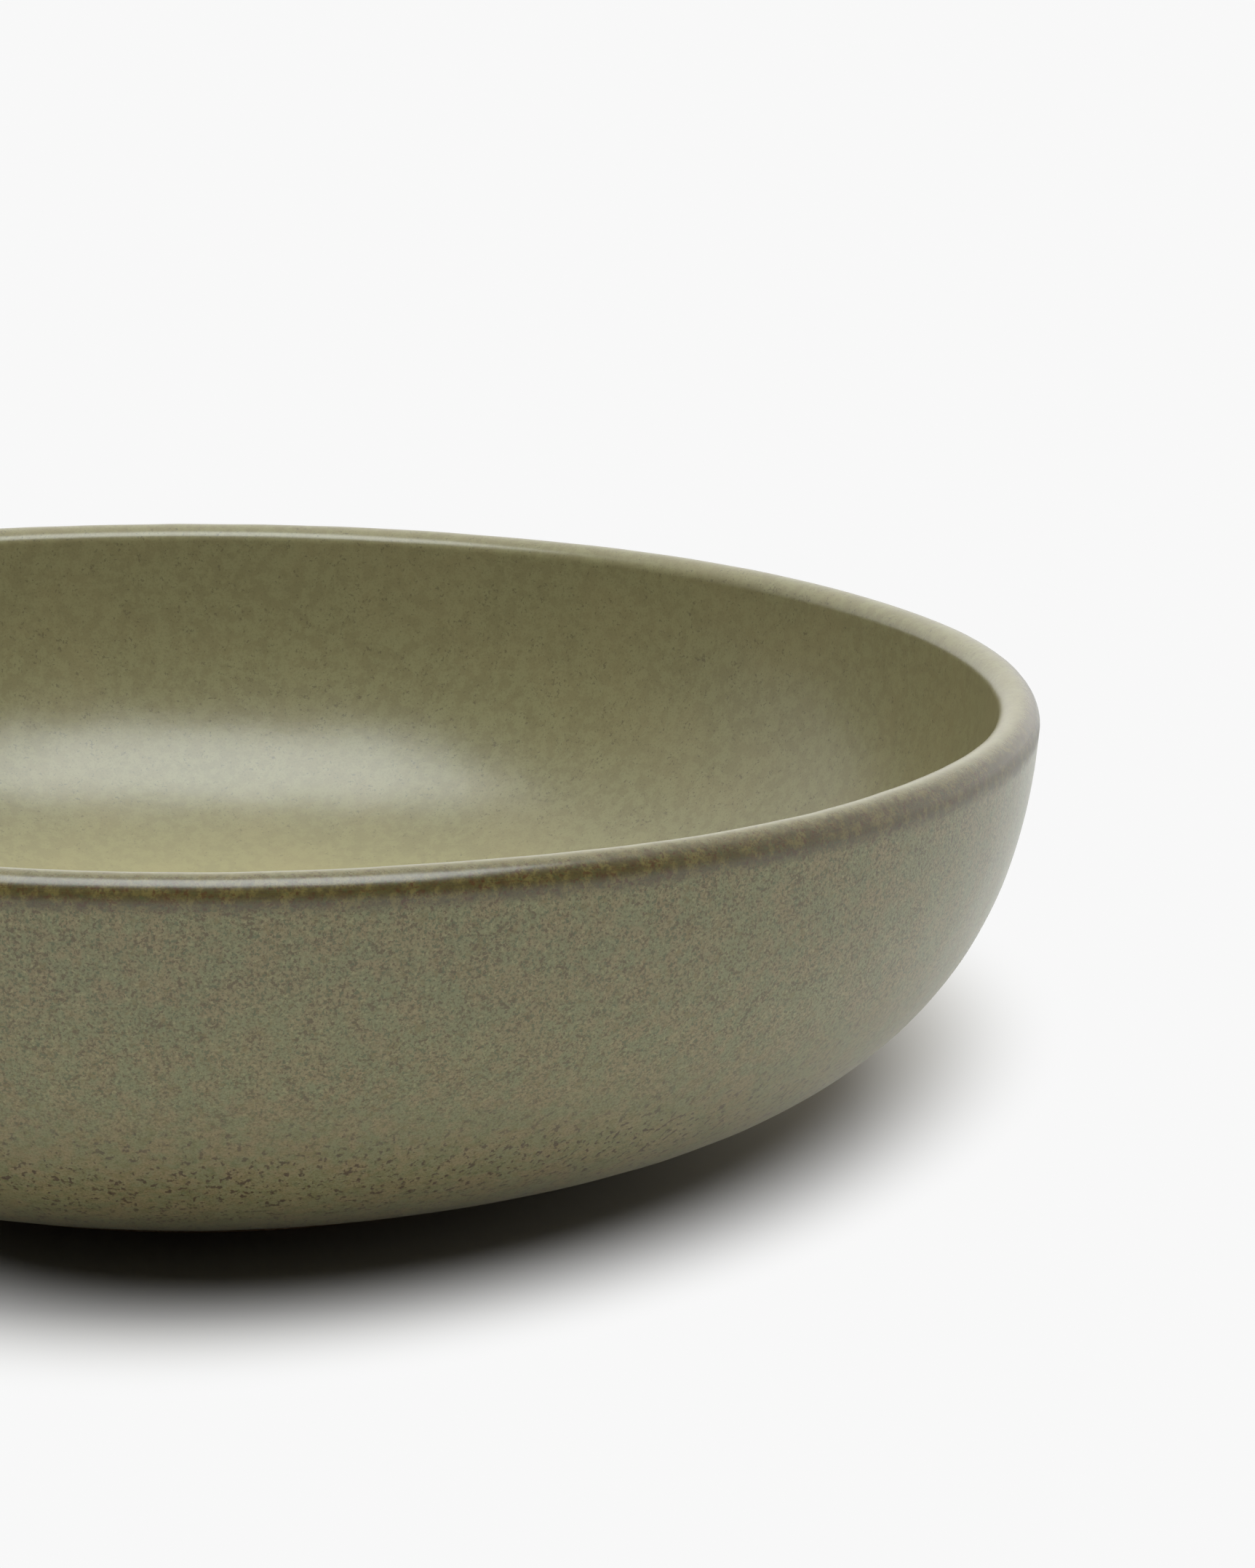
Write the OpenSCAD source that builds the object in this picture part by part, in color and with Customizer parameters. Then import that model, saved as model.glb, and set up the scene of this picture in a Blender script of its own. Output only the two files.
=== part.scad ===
// Deep stoneware plate: one clay body with a rounded lip and a low foot ring, and its glaze.
// Millimetres, +Z up, origin on the table under the middle of the plate.

/* [Plate] */
// Outer diameter just under the lip, where the plate is widest
plate_d = 210; // [196:1:230]
// Height of the lip over the table
plate_h = 58; // [54:1:64]

/* [Lip] */
// Width of the lip's rounding outside its crest
lip_outer_w = 2.7; // [2:0.1:3.4]
// Height of that outer rounding
lip_outer_h = 3.2; // [2:0.1:4.5]
// Width of the lip's rounding inside its crest
lip_inner_w = 2.7; // [2:0.1:3.4]
// Height of that inner rounding
lip_inner_h = 2.1; // [1.5:0.1:3]

/* [Wall] */
// Lean of the wall from upright just under the lip, in degrees
wall_lean = 4.3; // [2:0.1:7]
// Pull of the outer curve down from the lip, before it turns in
outer_upright = 25.7; // [20:0.5:30]
// Pull of the outer curve out from the foot ring, before it turns up
outer_flat = 45; // [38:0.5:52]
// Pull of the inner curve down from the lip, before it turns in
inner_upright = 20.8; // [16:0.4:26]
// Pull of the inner curve out from the floor, before it turns up
inner_flat = 60.2; // [54:0.4:66]

/* [Floor] */
// Diameter of the level floor in the middle of the well
floor_d = 60; // [44:1:72]
// Thickness of the floor over the recess inside the foot ring
floor_t = 6; // [5:0.1:8]

/* [Foot] */
// Diameter of the foot ring's outer edge on the table
foot_d = 93.6; // [86:0.2:98]
// Width of the foot ring on the table
foot_w = 5; // [4:0.1:7]
// Height of the foot ring that shows under the wall
foot_reveal = 1.65; // [1.3:0.05:2.2]
// Slope of the underside where it meets the foot ring, in degrees
underside_slope = 10; // [7:0.5:13]
// Depth of the recess inside the foot ring
foot_recess = 2.6; // [1.8:0.1:3.4]
// How much the foot ring widens on each side up to its root
foot_draft = 0.3; // [0.1:0.05:0.6]
// Radius of the foot ring's two rubbed edges
foot_edge = 0.5; // [0.3:0.1:0.8]

/* [Glaze] */
// Thickness of the glaze
glaze_t = 0.4; // [0.3:0.05:0.6]

/* [Hidden] */
// Steps along each wall curve, along each rounding of the lip, and along each edge of the foot ring
wall_steps = 26;
lip_steps = 8;
edge_steps = 4;
$fn = 180;

// The lip's crest runs between its two roundings, and the mouth is the opening inside them
rim_r = plate_d / 2;
crest_r = rim_r - lip_outer_w;
mouth_r = crest_r - lip_inner_w;

// The foot ring is widest at its roots, where it meets the underside and the recess
foot_r = foot_d / 2;
root_r = foot_r + foot_draft;
foot_inner_r = foot_r - foot_w;
root_inner_r = foot_inner_r - foot_draft;

floor_z = foot_recess + floor_t;

// Direction down and in towards the axis, at an angle from upright
function down_in(lean) = [-sin(lean), -cos(lean)];

// Place on a cubic curve with four control points, and the way it runs there
function cubic(p, t) =
    pow(1 - t, 3) * p[0] + 3 * pow(1 - t, 2) * t * p[1]
    + 3 * (1 - t) * pow(t, 2) * p[2] + pow(t, 3) * p[3];
function cubic_run(p, t) =
    pow(1 - t, 2) * (p[1] - p[0]) + 2 * (1 - t) * t * (p[2] - p[1]) + pow(t, 2) * (p[3] - p[2]);

// Points along a cubic curve, each moved to the right of the way it runs
function moved_cubic(p, move) = [
    for (i = [0 : wall_steps])
        let (t = i / wall_steps, run = cubic_run(p, t))
        cubic(p, t) + move * [run.y, -run.x] / norm(run)
];

// Points from step first to step last of a quarter ellipse between two angles, drawn in by inset
function rounding(middle, w, h, from, to, steps, first, last, inset) = [
    for (i = [first : last])
        let (a = from + (to - from) * i / steps, out = [cos(a) / w, sin(a) / h])
        middle + [w * cos(a), h * sin(a)] - inset * out / norm(out)
];

function reversed(list) = [for (i = [len(list) - 1 : -1 : 0]) list[i]];

// The outer wall runs from the lip to the foot ring's root, and the inner wall to the level floor
outer_top = [rim_r, plate_h - lip_outer_h];
outer_end = [root_r, foot_reveal];
outer_wall = [
    outer_top,
    outer_top + outer_upright * down_in(wall_lean),
    outer_end - outer_flat * down_in(90 - underside_slope),
    outer_end
];
inner_top = [mouth_r, plate_h - lip_inner_h];
inner_end = [floor_d / 2, floor_z];
inner_wall = [
    inner_top,
    inner_top + inner_upright * down_in(wall_lean),
    inner_end + [inner_flat, 0],
    inner_end
];

// The glazed surface from the middle of the floor, over the lip, to the foot ring's root.
// An inset of the glaze's thickness gives the clay under it.
function glazed_outline(inset) = concat(
    [[0, floor_z - inset]],
    reversed(moved_cubic(inner_wall, -inset)),
    rounding([crest_r, plate_h - lip_inner_h], lip_inner_w, lip_inner_h, 180, 90,
        lip_steps, 1, lip_steps, inset),
    rounding([crest_r, plate_h - lip_outer_h], lip_outer_w, lip_outer_h, 90, 0,
        lip_steps, 1, lip_steps - 1, inset),
    moved_cubic(outer_wall, inset)
);

// The bare foot ring, from its outer root over its two rubbed edges to its inner root
foot_outline = concat(
    [outer_end],
    rounding([foot_r - foot_edge, foot_edge], foot_edge, foot_edge, 0, -90,
        edge_steps, 0, edge_steps, 0),
    rounding([foot_inner_r + foot_edge, foot_edge], foot_edge, foot_edge, 270, 180,
        edge_steps, 0, edge_steps, 0),
    [[root_inner_r, foot_recess]]
);

// Fired clay, from under the glaze of the well to the bare foot ring it stands on
module stoneware_body() {
    color("#b9a284") rotate_extrude() polygon(concat(
        glazed_outline(glaze_t),
        foot_outline,
        [[root_inner_r, foot_recess + glaze_t], [0, foot_recess + glaze_t]]
    ));
}

// Glaze over the well, the lip and the outside, and a second patch in the recess
module glaze() {
    color("#706c58") {
        rotate_extrude() polygon(concat(glazed_outline(0), reversed(glazed_outline(glaze_t))));
        translate([0, 0, foot_recess]) cylinder(h = glaze_t, r = root_inner_r);
    }
}

stoneware_body();
glaze();
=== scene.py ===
import math

import bpy
import numpy as np
from mathutils import Matrix


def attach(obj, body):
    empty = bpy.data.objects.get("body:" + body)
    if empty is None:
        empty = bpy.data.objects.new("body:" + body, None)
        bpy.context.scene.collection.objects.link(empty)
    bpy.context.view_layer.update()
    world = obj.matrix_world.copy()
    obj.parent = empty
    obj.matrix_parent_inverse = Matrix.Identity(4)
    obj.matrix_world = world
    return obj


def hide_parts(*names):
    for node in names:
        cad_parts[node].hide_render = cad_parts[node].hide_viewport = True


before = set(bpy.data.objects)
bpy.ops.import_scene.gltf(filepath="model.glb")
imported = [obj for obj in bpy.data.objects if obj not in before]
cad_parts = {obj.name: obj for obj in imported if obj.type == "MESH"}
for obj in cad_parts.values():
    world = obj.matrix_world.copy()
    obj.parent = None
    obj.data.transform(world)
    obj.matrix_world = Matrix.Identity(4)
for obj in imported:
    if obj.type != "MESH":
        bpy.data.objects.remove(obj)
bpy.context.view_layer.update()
mm = 0.001
print("frame loaded")


# camera, fitted to the outlines of the lip, the wall and the contact line
camera = {
    "imageHeight": 2156,              # pixels, the long side
    "focalPixels": 9270.0,            # focal length in the same pixels
    "place": (53.9, -819.8, 233.0),   # mm
    "pitch": 12.9,                    # degrees below level
    "roll": 0.86,                     # degrees, a camera held a little askew
    "sensor": 36.0,                   # mm along the long side
    "clipStart": 10.0,                # mm
}


def makeCamera(c):
    data = bpy.data.cameras.new("camera")
    data.sensor_width = c["sensor"]
    data.lens = c["focalPixels"] * c["sensor"] / c["imageHeight"]
    data.clip_start = c["clipStart"] * mm
    obj = bpy.data.objects.new("camera", data)
    pitch = Matrix.Rotation(math.radians(90 - c["pitch"]), 4, "X")
    turn = pitch @ Matrix.Rotation(math.radians(c["roll"]), 4, "Z")
    obj.matrix_world = Matrix.Translation([v * mm for v in c["place"]]) @ turn
    bpy.context.collection.objects.link(obj)
    bpy.context.scene.camera = obj


makeCamera(camera)
print("camera placed")


# shapes
# the plate's outline in mm and degrees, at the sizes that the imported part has
plate = {
    "rimR": 105.0, "height": 58.0,
    "lipOuterW": 2.7, "lipOuterH": 3.2, "lipInnerW": 2.7, "lipInnerH": 2.1,   # the lip's two roundings
    "wallLean": 4.3, "outerUpright": 25.7, "outerFlat": 45.0,   # the pulls at the ends of each wall curve
    "innerUpright": 20.8, "innerFlat": 60.2,
    "floorR": 30.0, "floorT": 6.0,
    "footR": 46.8, "footW": 5.0, "footDraft": 0.3, "footEdge": 0.5, "footRecess": 2.6,
    "footReveal": 1.65, "undersideSlope": 10.0,
    "glazeT": 0.4,
}


def downIn(lean):
    # the unit way down and in towards the axis, at an angle from upright: (-sin, -cos)
    return np.array([-math.sin(math.radians(lean)), -math.cos(math.radians(lean))])


def cubic(p, n):
    # a cubic curve through four control points, and its unit normal to the right of the way it runs
    t = np.linspace(0, 1, n)[:, None]
    at = (1 - t) ** 3 * p[0] + 3 * (1 - t) ** 2 * t * p[1] + 3 * (1 - t) * t ** 2 * p[2] + t ** 3 * p[3]
    run = (1 - t) ** 2 * (p[1] - p[0]) + 2 * (1 - t) * t * (p[2] - p[1]) + t ** 2 * (p[3] - p[2])
    right = np.stack([run[:, 1], -run[:, 0]], 1)
    return at, right / np.linalg.norm(right, axis=1)[:, None]


def ellipseArc(middle, w, h, start, end, n):
    # part of an ellipse, middle + (w cos a, h sin a), and its unit normal outwards, (cos a / w, sin a / h)
    a = np.radians(np.linspace(start, end, n))
    at = np.array(middle) + np.stack([w * np.cos(a), h * np.sin(a)], 1)
    out = np.stack([np.cos(a) / w, np.sin(a) / h], 1)
    return at, out / np.linalg.norm(out, axis=1)[:, None]


def glazedProfile(p, steps):
    # from the middle of the floor, up the inside, over the lip and down to the foot ring's root: a level
    # line, a cubic, two quarter ellipses and a cubic. Gives the places (r, z) in mm, the unit normals out
    # of the glaze, and the row of the lip's crest.
    crestR = p["rimR"] - p["lipOuterW"]
    innerTop = np.array([crestR - p["lipInnerW"], p["height"] - p["lipInnerH"]])
    innerEnd = np.array([p["floorR"], p["footRecess"] + p["floorT"]])
    outerTop = np.array([p["rimR"], p["height"] - p["lipOuterH"]])
    outerEnd = np.array([p["footR"] + p["footDraft"], p["footReveal"]])
    inner, innerN = cubic([innerTop, innerTop + p["innerUpright"] * downIn(p["wallLean"]),
                           innerEnd + np.array([p["innerFlat"], 0]), innerEnd], steps["wall"])
    outer, outerN = cubic([outerTop, outerTop + p["outerUpright"] * downIn(p["wallLean"]),
                           outerEnd - p["outerFlat"] * downIn(90 - p["undersideSlope"]), outerEnd],
                          steps["wall"])
    lipIn, lipInN = ellipseArc([crestR, innerTop[1]], p["lipInnerW"], p["lipInnerH"], 180, 90, steps["lip"])
    lipOut, lipOutN = ellipseArc([crestR, outerTop[1]], p["lipOuterW"], p["lipOuterH"], 90, 0, steps["lip"])
    floor = np.stack([np.linspace(0, p["floorR"], steps["floor"]), np.full(steps["floor"], innerEnd[1])], 1)
    up = np.tile([0.0, 1.0], (steps["floor"], 1))
    places = np.concatenate([floor[:-1], inner[::-1], lipIn[1:], lipOut[1:], outer[1:]])
    normals = np.concatenate([up[:-1], innerN[::-1], lipInN[1:], lipOutN[1:], -outerN[1:]])
    return places, normals, steps["floor"] - 1 + steps["wall"] - 1 + steps["lip"] - 1


def underGlaze(p, steps):
    # the clay's side of the glaze: the glazed outline moved in along its normals by the glaze's thickness
    places, normals, crest = glazedProfile(p, steps)
    return places - p["glazeT"] * normals, crest


def fromCrest(places, crest):
    # distance along the profile from the crest's row in mm, the steps' lengths summed, below zero inside
    run = np.concatenate([[0], np.cumsum(np.linalg.norm(np.diff(places, axis=0), axis=1))])
    return run - run[crest]


def footProfile(p, edgeSteps):
    # the bare foot ring from its outer root over its two rubbed edges, each a quarter circle, then across
    # under the recess glaze to the axis
    footInner = p["footR"] - p["footW"]
    rootInner = footInner - p["footDraft"]
    e = p["footEdge"]
    outerEdge, _ = ellipseArc([p["footR"] - e, e], e, e, 0, -90, edgeSteps)
    innerEdge, _ = ellipseArc([footInner + e, e], e, e, 270, 180, edgeSteps)
    inside = np.array([[rootInner, p["footRecess"]], [rootInner, p["footRecess"] + p["glazeT"]],
                       [0, p["footRecess"] + p["glazeT"]]])
    return np.concatenate([[[p["footR"] + p["footDraft"], p["footReveal"]]], outerEdge, innerEdge, inside])


def ripple(places, wavelength, count, seed):
    # smooth noise of about unit size: a sum of plane waves in random directions, with random phases
    rng = np.random.default_rng(seed)
    way = rng.normal(size=(count, 3))
    way *= 2 * math.pi / wavelength / np.linalg.norm(way, axis=1)[:, None]
    phase = rng.uniform(0, 2 * math.pi, count)
    return np.sin(places @ way.T + phase).sum(1) * math.sqrt(2 / count)


def spinProfile(name, profile, segments, push=None, values=None):
    # turns a profile (r, z) in mm about the plate's axis, (r cos a, r sin a, z): rings of points at even
    # angles, and one point where the profile meets the axis. push gives each row's normal and how far each
    # point moves along it, and values gives attributes, one number for each row.
    rings = profile[1:-1]
    angle = np.arange(segments) * 2 * math.pi / segments
    r, z = rings[:, 0:1], rings[:, 1:2]
    places = np.stack([r * np.cos(angle), r * np.sin(angle), z + 0 * angle], 2)
    if push is not None:
        normals, amount = push
        out = np.stack([normals[1:-1, 0:1] * np.cos(angle), normals[1:-1, 0:1] * np.sin(angle),
                        normals[1:-1, 1:2] + 0 * angle], 2)
        places = places + out * amount(places)[:, :, None]
    n = len(rings)
    ends = [[0, 0, profile[0, 1]], [0, 0, profile[-1, 1]]]
    points = np.concatenate([places.reshape(-1, 3), ends]) * mm
    i, j = np.meshgrid(np.arange(n - 1), np.arange(segments), indexing="ij")
    k = (j + 1) % segments
    ring, nextRing = i * segments, (i + 1) * segments
    quads = np.stack([ring + j, nextRing + j, nextRing + k, ring + k], 2)
    j = np.arange(segments)
    k = (j + 1) % segments
    lastRing = (n - 1) * segments
    first = np.stack([np.full(segments, n * segments), j, k], 1)
    last = np.stack([np.full(segments, n * segments + 1), lastRing + k, lastRing + j], 1)
    faces = quads.reshape(-1, 4).tolist() + first.tolist() + last.tolist()
    mesh = bpy.data.meshes.new(name)
    mesh.from_pydata(points.tolist(), [], faces)
    mesh.polygons.foreach_set("use_smooth", np.ones(len(faces), bool))
    for key, perRow in (values or {}).items():
        layer = mesh.attributes.new(key, "FLOAT", "POINT")
        spread = np.repeat(perRow[1:-1], segments)
        layer.data.foreach_set("value", np.concatenate([spread, perRow[[0, -1]]]).astype(np.float32))
    obj = bpy.data.objects.new(name, mesh)
    bpy.context.collection.objects.link(obj)
    return obj


# colours and nodes
def hexColour(code):
    # an sRGB hex value as linear red, green, blue and alpha
    values = [int(code[i:i + 2], 16) / 255 for i in (1, 3, 5)]
    return [v / 12.92 if v <= 0.04045 else ((v + 0.055) / 1.055) ** 2.4 for v in values] + [1.0]


def addNode(tree, kind, inputs=None, **settings):
    node = tree.nodes.new(kind)
    for key, value in settings.items():
        setattr(node, key, value)
    for key, value in (inputs or {}).items():
        if isinstance(value, bpy.types.NodeSocket):
            tree.links.new(value, node.inputs[key])
        else:
            node.inputs[key].default_value = value
    return node


def newMaterial(name):
    material = bpy.data.materials.new(name)
    material.use_nodes = True
    material.node_tree.nodes.clear()
    return material, material.node_tree


# distances from the crest are in mm along the profile, below zero inside the well
glazeLook = {
    # size in mm, detail, roughness of the detail, and a pattern that crowds it with its share. The glaze's
    # own crystals, under 0.1 mm, are too fine to show, so grain is drawn three times as coarse.
    "patterns": {
        "cloud": (12.0, 2.0, 0.5), "patch": (3.4, 5.0, 0.7), "blotch": (1.7, 3.0, 0.65),
        "cluster": (2.2, 2.0, 0.5), "wander": (1.2, 4.0, 0.7), "grain": (0.30, 1.0, 0.6),
        "brownSpeck": (0.46, 2.0, 0.65, "cluster", 0.3), "coolSpeck": (0.50, 2.0, 0.65, "patch", 0.3),
        "paleSpeck": (0.45, 2.0, 0.6), "rustSpeck": (1.2, 3.0, 0.65), "skin": (1.5, 3.0, 0.6),
        "run": (0.62, 2.0, 0.6), "coolRun": (0.66, 2.0, 0.6),
    },
    "firstShift": 0.11, "shift": 0.1,   # m, how far each pattern is moved from the last, so that none agree
    # the belly's specks lie on a ring of this radius in mm, and are this many times longer down the wall
    "ringPatterns": ("run", "coolRun"), "ringR": 75.0, "ringStretch": 1.6,
    # each coat is a ground colour and what is laid over it, one after the other, where a pattern's noise is
    # high: the pattern, the level where it starts, the level where it is full, how much shows there, colour
    "coats": {
        "wall": ["#64623d", ("patch", 0.42, 0.58, 1.0, "#70613d"),
                 ("cloud", 0.40, 0.70, 0.3, "#6c6740"), ("grain", 0.48, 0.64, 0.6, "#46400f"),
                 ("paleSpeck", 0.54, 0.68, 0.5, "#837c52"), ("rustSpeck", 0.56, 0.66, 0.5, "#594a14"),
                 ("coolSpeck", 0.70, 0.80, 0.65, "#2f3a10"), ("brownSpeck", 0.70, 0.80, 0.9, "#46370a")],
        "belly": ["#63603f", ("patch", 0.42, 0.58, 1.0, "#6e6040"),
                  ("cloud", 0.40, 0.70, 0.4, "#6f6844"), ("rustSpeck", 0.50, 0.60, 0.3, "#4f4714"),
                  ("grain", 0.48, 0.64, 0.5, "#4b4417"),
                  ("coolRun", 0.57, 0.67, 0.4, "#353f12"), ("run", 0.56, 0.64, 0.9, "#36220a")],
        "lip": ["#4a4122", ("blotch", 0.42, 0.60, 0.9, "#62572f"),
                ("rustSpeck", 0.52, 0.64, 0.6, "#48331b"), ("grain", 0.48, 0.64, 0.5, "#372e1a"),
                ("coolSpeck", 0.72, 0.82, 0.6, "#424829"), ("brownSpeck", 0.71, 0.81, 0.7, "#45270f")],
        "well": ["#847f5d", ("blotch", 0.40, 0.60, 1.0, "#7c7555"),
                 ("cloud", 0.38, 0.66, 0.3, "#887e5c"), ("grain", 0.48, 0.68, 0.3, "#6a6548"),
                 ("brownSpeck", 0.76, 0.86, 0.6, "#574e3c")],
        # the well grows paler towards its bottom
        "paleWellAndPoolWaves": ["#9e966c", ("blotch", 0.40, 0.60, 0.8, "#978f68"),
                 ("cloud", 0.38, 0.66, 0.4, "#a1956c"), ("brownSpeck", 0.80, 0.90, 0.4, "#757054")],
    },
    # where each coat starts and where it is full, in mm from the crest
    "paleWellAndPoolWavesFrom": -36.0, "paleWellAndPoolWavesTo": -62.0, "lipFrom": -0.6, "lipTo": 2.6,
    "wallFrom": 4.7, "wallTo": 6.2, "bellyFrom": 24.0, "bellyTo": 46.0,
    # the lip's edges stray this far in mm to either side, as a noise runs between two levels
    "edgeWander": 0.8, "wanderLow": 0.2, "wanderHigh": 0.8,
    # painted light: the outside's colour grows paler downwards, standing in for the board's light thrown up
    # onto the lower wall
    "paler": 1.37, "palerFrom": 10.0, "palerTo": 75.0,    # the outside grows paler downwards
    "wellRoughness": 0.29, "lipRoughness": 0.26, "wallRoughness": 0.42,
    "satinFrom": 2.8, "satinTo": 4.6,                     # where the lip's gloss turns satin
    # the wall's dusty sheen, full down to one distance from the crest and gone at the other
    "bloom": 0.22, "bloomRoughness": 0.3, "bloomFrom": 45.0, "bloomTo": 80.0,
    "skinDepth": 0.05, "skinStrength": 0.35,              # mm, the fine bumps of the fired skin
    "ior": 1.6,                                           # a dense glassy glaze
}


def reactiveGlaze(g):
    # satin stoneware glaze, dipped and fired: olive in the well and paler towards its bottom, thin and brown
    # where it breaks over the lip, and grey-green and taupe with fine iron specks down the outside
    material, tree = newMaterial("reactive stoneware glaze")
    where = addNode(tree, "ShaderNodeTexCoord").outputs["Object"]
    along = addNode(tree, "ShaderNodeAttribute", attribute_name="fromCrest").outputs["Fac"]
    # the same place on a ring round the plate, with the way down the wall as its height and drawn shorter
    ring = addNode(tree, "ShaderNodeVectorMath", {0: where, 1: (1, 1, 0)}, operation="MULTIPLY").outputs[0]
    ring = addNode(tree, "ShaderNodeVectorMath", {0: ring}, operation="NORMALIZE").outputs[0]
    down = addNode(tree, "ShaderNodeCombineXYZ", {"Z": along}).outputs[0]
    down = addNode(tree, "ShaderNodeVectorMath", {0: down, 3: mm / g["ringStretch"]},
                   operation="SCALE").outputs[0]
    ring = addNode(tree, "ShaderNodeVectorMath", {0: ring, 1: [g["ringR"] * mm] * 3, 2: down},
                   operation="MULTIPLY_ADD").outputs[0]
    noise = {}
    for number, (name, (size, detail, rough, *crowd)) in enumerate(g["patterns"].items()):
        moved = addNode(tree, "ShaderNodeMapping",
                        {"Vector": ring if name in g["ringPatterns"] else where,
                         "Location": [g["firstShift"] + g["shift"] * number] * 3})
        level = addNode(tree, "ShaderNodeTexNoise", {"Vector": moved.outputs[0], "Scale": 1 / (size * mm),
                                                    "Detail": detail, "Roughness": rough}).outputs["Fac"]
        if crowd:
            level = addNode(tree, "ShaderNodeMath", {0: noise[crowd[0]], 1: crowd[1], 2: level},
                            operation="MULTIPLY_ADD").outputs[0]
        noise[name] = level
    coat = {}
    for zone, (ground, *layers) in g["coats"].items():
        colour = hexColour(ground)
        for pattern, start, full, most, code in layers:
            level = addNode(tree, "ShaderNodeMapRange",
                            {"Value": noise[pattern], "From Min": start, "From Max": full, "To Max": most},
                            interpolation_type="SMOOTHSTEP")
            colour = addNode(tree, "ShaderNodeMix", {0: level.outputs[0], 6: colour, 7: hexColour(code)},
                             data_type="RGBA").outputs[2]
        coat[zone] = colour
    # painted light: the wall and belly coats grow paler downwards, in place of the board's bounce light
    paintedBounceLight = addNode(tree, "ShaderNodeMapRange",
                    {"Value": along, "From Min": g["palerFrom"], "From Max": g["palerTo"],
                     "To Min": 1.0, "To Max": g["paler"]}).outputs[0]
    for zone in ("wall", "belly"):
        coat[zone] = addNode(tree, "ShaderNodeVectorMath", {0: coat[zone], 3: paintedBounceLight},
                             operation="SCALE").outputs[0]
    wander = addNode(tree, "ShaderNodeMapRange",
                     {"Value": noise["wander"], "From Min": g["wanderLow"], "From Max": g["wanderHigh"],
                      "To Min": -g["edgeWander"], "To Max": g["edgeWander"]}).outputs[0]
    edge = addNode(tree, "ShaderNodeMath", {0: along, 1: wander}, operation="ADD").outputs[0]
    share = {}
    for zone, value in (("paleWellAndPoolWaves", along), ("lip", edge), ("wall", edge), ("belly", along), ("satin", along)):
        share[zone] = addNode(tree, "ShaderNodeMapRange",
                              {"Value": value, "From Min": g[zone + "From"], "From Max": g[zone + "To"]},
                              interpolation_type="SMOOTHSTEP").outputs[0]
    colour = coat["well"]
    for zone in ("paleWellAndPoolWaves", "lip", "wall", "belly"):
        colour = addNode(tree, "ShaderNodeMix", {0: share[zone], 6: colour, 7: coat[zone]},
                         data_type="RGBA").outputs[2]
    roughness = g["wellRoughness"]
    for zone, value in (("lip", "lipRoughness"), ("satin", "wallRoughness")):
        roughness = addNode(tree, "ShaderNodeMix", {0: share[zone], 2: roughness, 3: g[value]}).outputs[0]
    bump = addNode(tree, "ShaderNodeBump", {"Height": noise["skin"], "Strength": g["skinStrength"],
                                           "Distance": g["skinDepth"] * mm})
    bloom = addNode(tree, "ShaderNodeMapRange",
                    {"Value": along, "From Min": g["bloomFrom"], "From Max": g["bloomTo"],
                     "To Min": g["bloom"], "To Max": 0.0}).outputs[0]
    bloom = addNode(tree, "ShaderNodeMath", {0: share["wall"], 1: bloom}, operation="MULTIPLY").outputs[0]
    shader = addNode(tree, "ShaderNodeBsdfPrincipled", {"Base Color": colour, "Roughness": roughness,
                                                       "Sheen Weight": bloom,
                                                       "Sheen Roughness": g["bloomRoughness"],
                                                       "IOR": g["ior"], "Normal": bump.outputs[0]})
    addNode(tree, "ShaderNodeOutputMaterial", {"Surface": shader.outputs[0]})
    return material


clayLook = {
    "clay": "#b59c7d", "dark": "#8f7658",
    "grit": 0.5, "gritDetail": 3.0, "cloud": 9.0, "cloudDetail": 2.0,   # mm, the clay's sand and its drifts
    "darkLevel": 0.15, "clayLevel": 0.4,                                # noise levels of the two colours
    "gritDepth": 0.08, "gritStrength": 0.5,                             # mm
    "roughness": 0.85,
}


def bareStoneware(c):
    # unglazed fired clay, sanded on the foot ring: dry, matt and finely gritty
    material, tree = newMaterial("bare stoneware")
    where = addNode(tree, "ShaderNodeTexCoord").outputs["Object"]
    level = {}
    for name in ("grit", "cloud"):
        level[name] = addNode(tree, "ShaderNodeTexNoise", {"Vector": where, "Scale": 1 / (c[name] * mm),
                                                          "Detail": c[name + "Detail"]}).outputs["Fac"]
    both = addNode(tree, "ShaderNodeMath", {0: level["grit"], 1: level["cloud"]}, operation="MULTIPLY")
    share = addNode(tree, "ShaderNodeMapRange", {"Value": both.outputs[0], "From Min": c["darkLevel"],
                                                "From Max": c["clayLevel"]})
    colour = addNode(tree, "ShaderNodeMix", {0: share.outputs[0], 6: hexColour(c["dark"]),
                                            7: hexColour(c["clay"])}, data_type="RGBA")
    bump = addNode(tree, "ShaderNodeBump", {"Height": level["grit"], "Strength": c["gritStrength"],
                                           "Distance": c["gritDepth"] * mm})
    shader = addNode(tree, "ShaderNodeBsdfPrincipled", {"Base Color": colour.outputs[2],
                                                       "Roughness": c["roughness"],
                                                       "Normal": bump.outputs[0]})
    addNode(tree, "ShaderNodeOutputMaterial", {"Surface": shader.outputs[0]})
    return material


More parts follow.
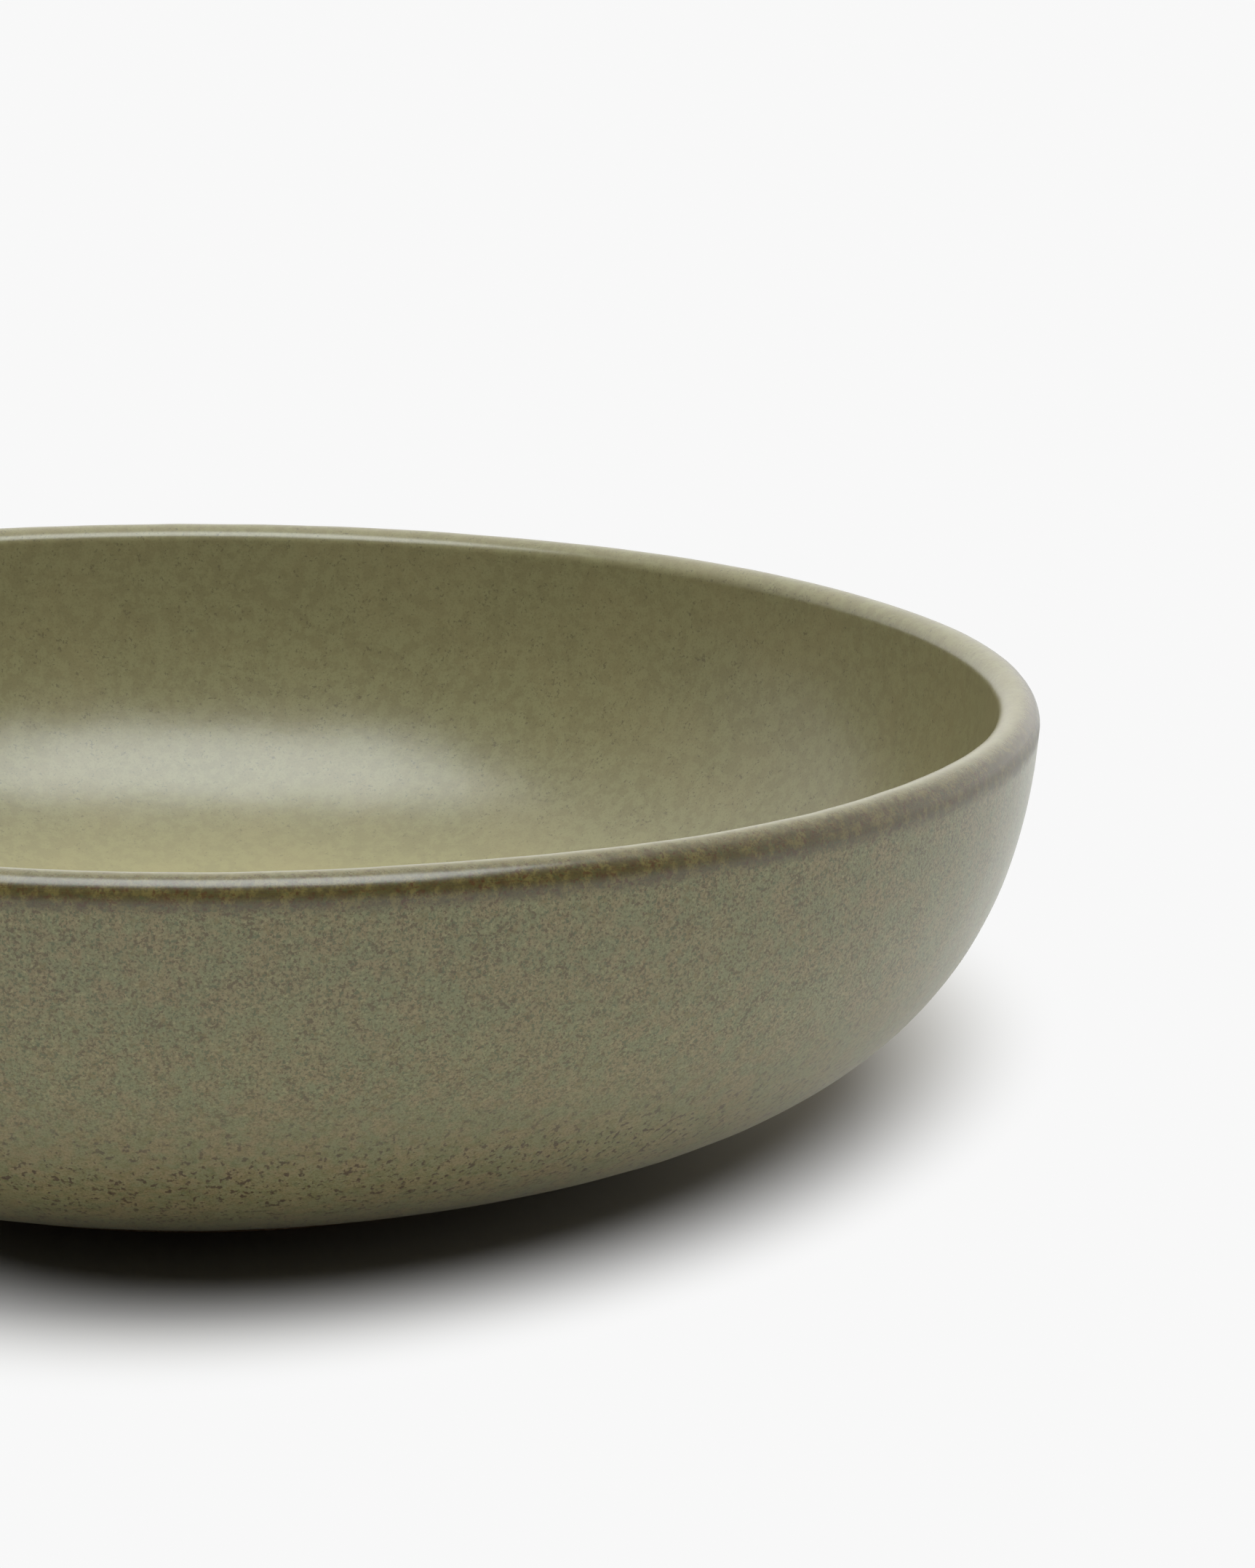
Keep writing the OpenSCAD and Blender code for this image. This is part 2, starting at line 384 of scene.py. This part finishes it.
# the plate
dressing = {
    "segments": 420, "steps": {"wall": 64, "lip": 12, "floor": 16},
    "hiddenSteps": {"wall": 20, "lip": 5, "floor": 4}, "footEdgeSteps": 6,
    # height and length of each wave in mm, how many plane waves are summed, and the seed that draws them
    "waves": {
        "sway": (0.06, 60.0, 24, 3),    # slow waves of the fired wall
        "paleWellAndPoolWaves": (0.010, 9.0, 40, 5),    # where the glaze ran thicker and thinner
        "peel": (0.004, 3.6, 40, 7),    # fine waves of the glaze skin
    },
    "fade": 8.0,                        # mm from the foot ring and from the middle of the floor
    # the recess has the wall's coat, as at this distance from the crest: the belly's specks lie on a ring
    # and would draw rays in it
    "recessFromCrest": 20.0,
}


def glazeWaves(d):
    # how far the fired skin lies out of the smooth one: each ripple times its height, summed
    def amount(places):
        flat = places.reshape(-1, 3)
        total = sum(height * ripple(flat, length, count, seed)
                    for height, length, count, seed in d["waves"].values())
        return total.reshape(places.shape[:2])
    return amount


def makeGlaze(p, d):
    # the glazed outline and, back along its clay side, the same outline set in, turned as one closed skin.
    # The waves move the glazed side alone and fade out at the middle of the floor and at the foot ring.
    places, normals, crest = glazedProfile(p, d["steps"])
    under, underCrest = underGlaze(p, d["hiddenSteps"])
    along, underAlong = fromCrest(places, crest), fromCrest(under, underCrest)
    calm = np.clip(np.minimum(along - along[0], along[-1] - along) / d["fade"], 0, 1)
    push = (np.concatenate([normals * calm[:, None], 0 * under]), glazeWaves(d))
    return spinProfile("glaze_coat", np.concatenate([places, under[::-1]]), d["segments"], push,
                       {"fromCrest": np.concatenate([along, underAlong[::-1]])})


def makeRecessGlaze(p, d):
    # a flat disc of the glaze's thickness, out along its top and back along its underside
    r = np.linspace(0, p["footR"] - p["footW"] - p["footDraft"], d["steps"]["floor"])
    low = np.stack([r, np.full(len(r), p["footRecess"])], 1)
    profile = np.concatenate([low + [0, p["glazeT"]], low[::-1]])
    return spinProfile("recess_glaze", profile, d["segments"], None,
                       {"fromCrest": np.full(len(profile), d["recessFromCrest"])})


def makeClay(p, d):
    # the clay's side of the glaze and then the bare foot ring, turned
    profile = np.concatenate([underGlaze(p, d["hiddenSteps"])[0], footProfile(p, d["footEdgeSteps"])])
    return spinProfile("clay_body", profile, d["segments"])


glazeCoat = makeGlaze(plate, dressing)
recessGlaze = makeRecessGlaze(plate, dressing)
clayBody = makeClay(plate, dressing)
glazeMaterial = reactiveGlaze(glazeLook)
clayMaterial = bareStoneware(clayLook)
for piece, material, slot in ((glazeCoat, glazeMaterial, "glaze"), (recessGlaze, glazeMaterial, "glaze"),
                              (clayBody, clayMaterial, "clay")):
    piece.data.materials.append(material)
    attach(piece, "root")
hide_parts("glaze")
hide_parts("glaze")
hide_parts("stoneware_body")
print("plate made")


# studio
plainWhite = 0.94   # how bright the ground is where the camera sees it plain

board = {
    "size": 12.0,        # m
    "colour": "#f3f3f3",
    # an oval round the shadow: its middle and half axes in mm, and the way its long axis points, in
    # degrees round from the camera's side
    "ovalMiddle": (22.0, 22.0), "ovalLong": 118.0, "ovalShort": 72.4, "ovalTurn": 160.0,
    # the lit board turns into plain white between two shares of the oval, for the camera and in the glaze
    "nearWhite": 0.75, "farWhite": 1.165, "nearGlossy": 3.0, "farGlossy": 6.0,
    # painted shadow: the board's colour turns darker and warmer under the plate, where the camera alone sees
    # it, full up to one share of the oval and less and less up to the other
    "paintedShadowColour": "#9a968d", "paintedShadowFrom": 0.88, "paintedShadowTo": 1.5,
}


def makeFloor(b):
    half = b["size"] / 2
    mesh = bpy.data.meshes.new("floor")
    corners = [(-half, -half, 0), (half, -half, 0), (half, half, 0), (-half, half, 0)]
    mesh.from_pydata(corners, [], [(0, 1, 2, 3)])
    floor = bpy.data.objects.new("floor", mesh)
    bpy.context.collection.objects.link(floor)
    # painted board, matt and white: it keeps the plate's shadow and is plain white round it, as far as the
    # camera sees it directly or in the glaze, and for the camera a painted shadow darkens and warms it under
    # the plate. Its light on the plate is that of the lit board.
    material, tree = newMaterial("matt white board")
    where = addNode(tree, "ShaderNodeTexCoord").outputs["Object"]
    oval = addNode(tree, "ShaderNodeMapping",
                   {"Vector": where, "Location": [v * mm for v in b["ovalMiddle"]] + [0],
                    "Rotation": (0, 0, math.radians(b["ovalTurn"] - 90)),
                    "Scale": (b["ovalLong"] * mm, b["ovalShort"] * mm, 1)},
                   vector_type="TEXTURE").outputs[0]
    far = addNode(tree, "ShaderNodeVectorMath", {0: oval}, operation="LENGTH").outputs["Value"]
    ray = addNode(tree, "ShaderNodeLightPath")
    looked = ray.outputs["Is Camera Ray"]
    mirrored = addNode(tree, "ShaderNodeMath",
                       {0: ray.outputs["Is Glossy Ray"], 1: ray.outputs["Is Transmission Ray"]},
                       operation="MAXIMUM").outputs[0]
    share = 0.0
    for seen, near, full in ((looked, "nearWhite", "farWhite"), (mirrored, "nearGlossy", "farGlossy")):
        ramp = addNode(tree, "ShaderNodeMapRange", {"Value": far, "From Min": b[near], "From Max": b[full]},
                       interpolation_type="SMOOTHSTEP").outputs[0]
        share = addNode(tree, "ShaderNodeMath", {0: ramp, 1: seen, 2: share},
                        operation="MULTIPLY_ADD").outputs[0]
    # painted shadow: the camera alone sees the board darker and warmer under the plate
    paintedShadowShare = addNode(tree, "ShaderNodeMapRange",
                   {"Value": far, "From Min": b["paintedShadowTo"], "From Max": b["paintedShadowFrom"]},
                   interpolation_type="SMOOTHSTEP").outputs[0]
    paintedShadowShare = addNode(tree, "ShaderNodeMath", {0: paintedShadowShare, 1: looked}, operation="MULTIPLY").outputs[0]
    colour = addNode(tree, "ShaderNodeMix",
                     {0: paintedShadowShare, 6: hexColour(b["colour"]), 7: hexColour(b["paintedShadowColour"])},
                     data_type="RGBA").outputs[2]
    lit = addNode(tree, "ShaderNodeBsdfDiffuse", {"Color": colour})
    plain = addNode(tree, "ShaderNodeEmission", {"Strength": plainWhite})
    surface = addNode(tree, "ShaderNodeMixShader", {0: share, 1: lit.outputs[0], 2: plain.outputs[0]})
    addNode(tree, "ShaderNodeOutputMaterial", {"Surface": surface.outputs[0]})
    mesh.materials.append(material)


softBox = {
    "size": (2.2, 1.35), "place": (0.0, -0.68, 2.06),   # m, overhead and towards the camera
    "colour": "#f9ffff", "power": 57.0,                 # W
}


def makeLamp(b):
    data = bpy.data.lights.new("soft box", "AREA")
    data.shape = "RECTANGLE"
    data.size, data.size_y = b["size"]
    data.energy = b["power"]
    data.color = hexColour(b["colour"])[:3]
    lamp = bpy.data.objects.new("soft box", data)
    lamp.location = b["place"]
    bpy.context.collection.objects.link(lamp)


room = {
    "front": 0.05, "back": 1.55,                     # strength on the camera's side and on the bright side
    "brightSide": 176.0,                             # degrees round from the camera's side
    "brightFrom": -0.5, "brightTo": 0.45,            # cosines from that side between which it brightens
    "overhead": 0.85, "overheadFrom": 0.3, "overheadTo": 0.8,   # share left overhead, and sines of height
}


def makeWorld(r):
    # nearly dark on the camera's side and bright behind the plate, a little weaker overhead, and plain
    # white where the camera looks
    world = bpy.data.worlds.new("studio")
    world.use_nodes = True
    tree = world.node_tree
    tree.nodes.clear()
    way = addNode(tree, "ShaderNodeTexCoord").outputs["Generated"]
    bright = math.radians(r["brightSide"])
    side = addNode(tree, "ShaderNodeVectorMath", {0: way, 1: (math.sin(bright), -math.cos(bright), 0)},
                   operation="DOT_PRODUCT").outputs["Value"]
    up = addNode(tree, "ShaderNodeVectorMath", {0: way, 1: (0, 0, 1)},
                 operation="DOT_PRODUCT").outputs["Value"]
    level = addNode(tree, "ShaderNodeMapRange",
                    {"Value": side, "From Min": r["brightFrom"], "From Max": r["brightTo"],
                     "To Min": r["front"], "To Max": r["back"]}, interpolation_type="SMOOTHSTEP").outputs[0]
    dim = addNode(tree, "ShaderNodeMapRange",
                  {"Value": up, "From Min": r["overheadFrom"], "From Max": r["overheadTo"],
                   "To Min": 1.0, "To Max": r["overhead"]}).outputs[0]
    strength = addNode(tree, "ShaderNodeMath", {0: level, 1: dim}, operation="MULTIPLY").outputs[0]
    light = addNode(tree, "ShaderNodeBackground", {"Strength": strength})
    plain = addNode(tree, "ShaderNodeBackground", {"Strength": plainWhite})
    ray = addNode(tree, "ShaderNodeLightPath")
    surface = addNode(tree, "ShaderNodeMixShader", {0: ray.outputs["Is Camera Ray"], 1: light.outputs[0],
                                                   2: plain.outputs[0]})
    addNode(tree, "ShaderNodeOutputWorld", {"Surface": surface.outputs[0]})
    bpy.context.scene.world = world


makeFloor(board)
makeLamp(softBox)
makeWorld(room)
bpy.context.scene.view_settings.view_transform = "Standard"
print("studio lit")
